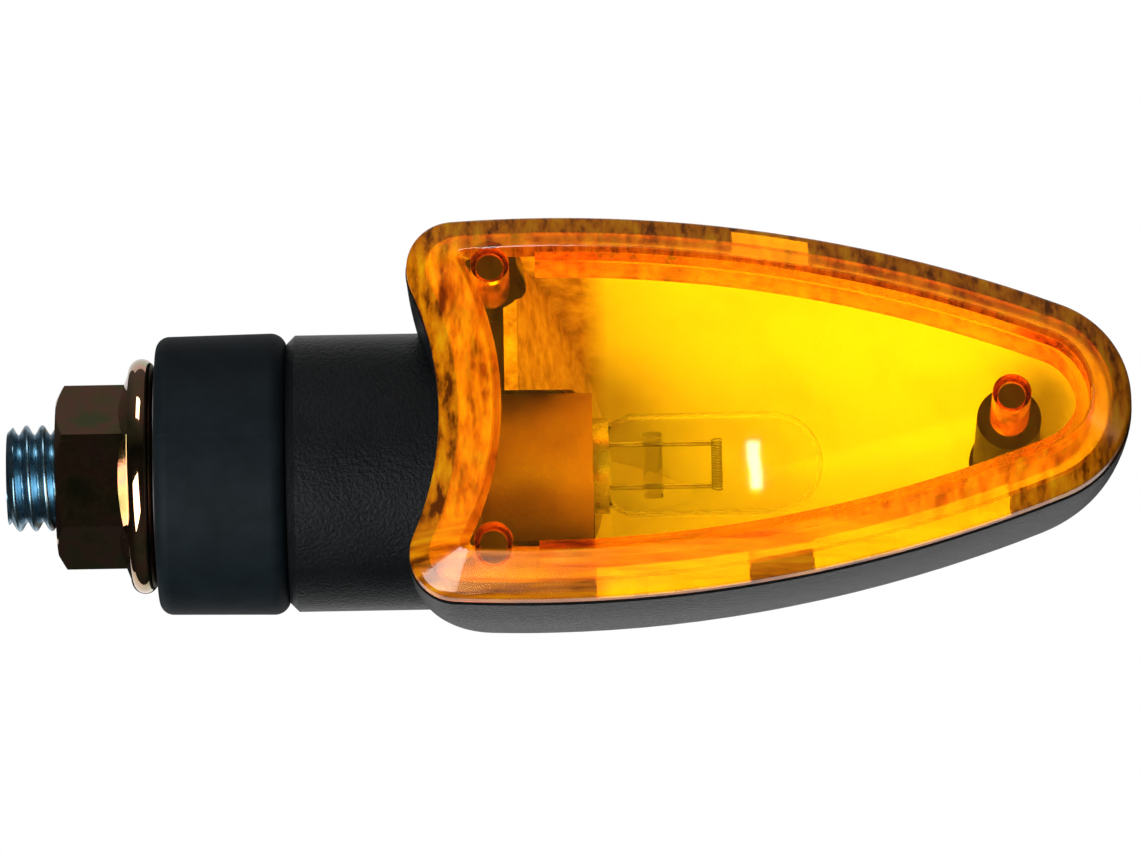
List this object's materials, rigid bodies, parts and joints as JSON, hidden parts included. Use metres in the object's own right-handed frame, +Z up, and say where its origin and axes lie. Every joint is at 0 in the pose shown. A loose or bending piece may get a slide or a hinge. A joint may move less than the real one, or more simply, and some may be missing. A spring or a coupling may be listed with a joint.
{
  "type": "turn signal indicator",
  "caption": "Motorcycle turn signal: pointed amber lens on a black housing, with a short rubber-collared stem and a hollow threaded stud with a flange nut.",
  "frame": {"origin": "on the stud's axis at the outer face of the rubber collar, where the signal meets what it is bolted to", "axes": "+X along the stem to the lens tip, the lens faces -Y, +Z up"},
  "size_m": [0.1049, 0.0353, 0.0372],
  "materials": {
    "black_plastic": "fine-grained moulded black plastic",
    "amber_lens": "clear amber polycarbonate, polished",
    "seal_rubber": "flat black gasket rubber",
    "reflector_silver": "satin silver coat",
    "holder_plastic": "brown heat-resistant moulding",
    "bright_steel": "tinned sheet steel",
    "insulator_board": "brown insulating board",
    "brass": "bright brass",
    "spring_steel": "bright spring wire",
    "brass_cap": "nickel-plated brass cap",
    "dark_glass": "dark vitrite glass",
    "solder": "dull solder",
    "clear_glass": "clear bulb glass",
    "lead_wire": "nickel lead wire",
    "tungsten": "tungsten coil",
    "blue_zinc": "blue-passivated zinc plate",
    "collar_rubber": "matte moulded black rubber",
    "washer_steel": "black-finished steel",
    "yellow_zinc": "yellow-passivated zinc with iridescence",
    "black_screw": "black-plated steel"
  },
  "bodies": {
    "mount": {"rubber_collar": "collar_rubber"},
    "head": {"housing": "black_plastic", "mounting_stud": "blue_zinc", "lens_seal": "seal_rubber", "reflector": "reflector_silver", "socket_holder": "holder_plastic", "socket_shell": "bright_steel", "contact_spring": "spring_steel", "earth_terminal": "bright_steel", "lens_screw_upper": "black_screw", "lens_screw_lower": "black_screw", "lens_screw_tip": "black_screw"},
    "lens": {"lens": "amber_lens"},
    "contact": {"contact_disc": "insulator_board", "contact_plunger": "brass", "live_terminal": "brass"},
    "bulb": {"bulb_base": "brass_cap", "bulb_insulator": "dark_glass", "bulb_contact": "solder", "bulb_glass": "clear_glass", "bulb_leads": "lead_wire", "bulb_bead": "clear_glass", "bulb_filament": "tungsten"},
    "washer": {"thrust_washer": "washer_steel"},
    "nut": {"flange_nut": "yellow_zinc"}
  },
  "joints": [
    {"name": "head_swivel", "type": "hinge", "parent": "mount", "child": "head", "pos_m": [0, 0, 0], "axis": [1, 0, 0], "range_deg": [-90, 90]},
    {"name": "lens_off", "type": "slide", "parent": "head", "child": "lens", "axis": [0, -1, 0], "range_m": [0, 0.04]},
    {"name": "nut_travel", "type": "slide", "parent": "head", "child": "washer", "axis": [-1, 0, 0], "range_m": [0, 0.0141]},
    {"name": "nut_spin", "type": "hinge", "parent": "washer", "child": "nut", "pos_m": [0, 0, 0], "axis": [-1, 0, 0], "range_deg": [0, 3384]},
    {"name": "contact_press", "type": "slide", "parent": "head", "child": "contact", "axis": [-1, 0, 0], "range_m": [0, 0.0015], "stiffness_N_per_m": 200, "springref_m": -0.003, "deforming": ["contact_spring"]},
    {"name": "bulb_twist", "type": "hinge", "parent": "contact", "child": "bulb", "pos_m": [0.0372, 0, 0], "axis": [1, 0, 0], "range_deg": [0, 25]}
  ],
  "couplings": [
    {"joint": "nut_travel", "follows": "nut_spin", "m_per_rad": 0.00023873},
    {"joint": "bulb_twist", "follows": "contact_press", "rad_per_m": 290.88}
  ]
}
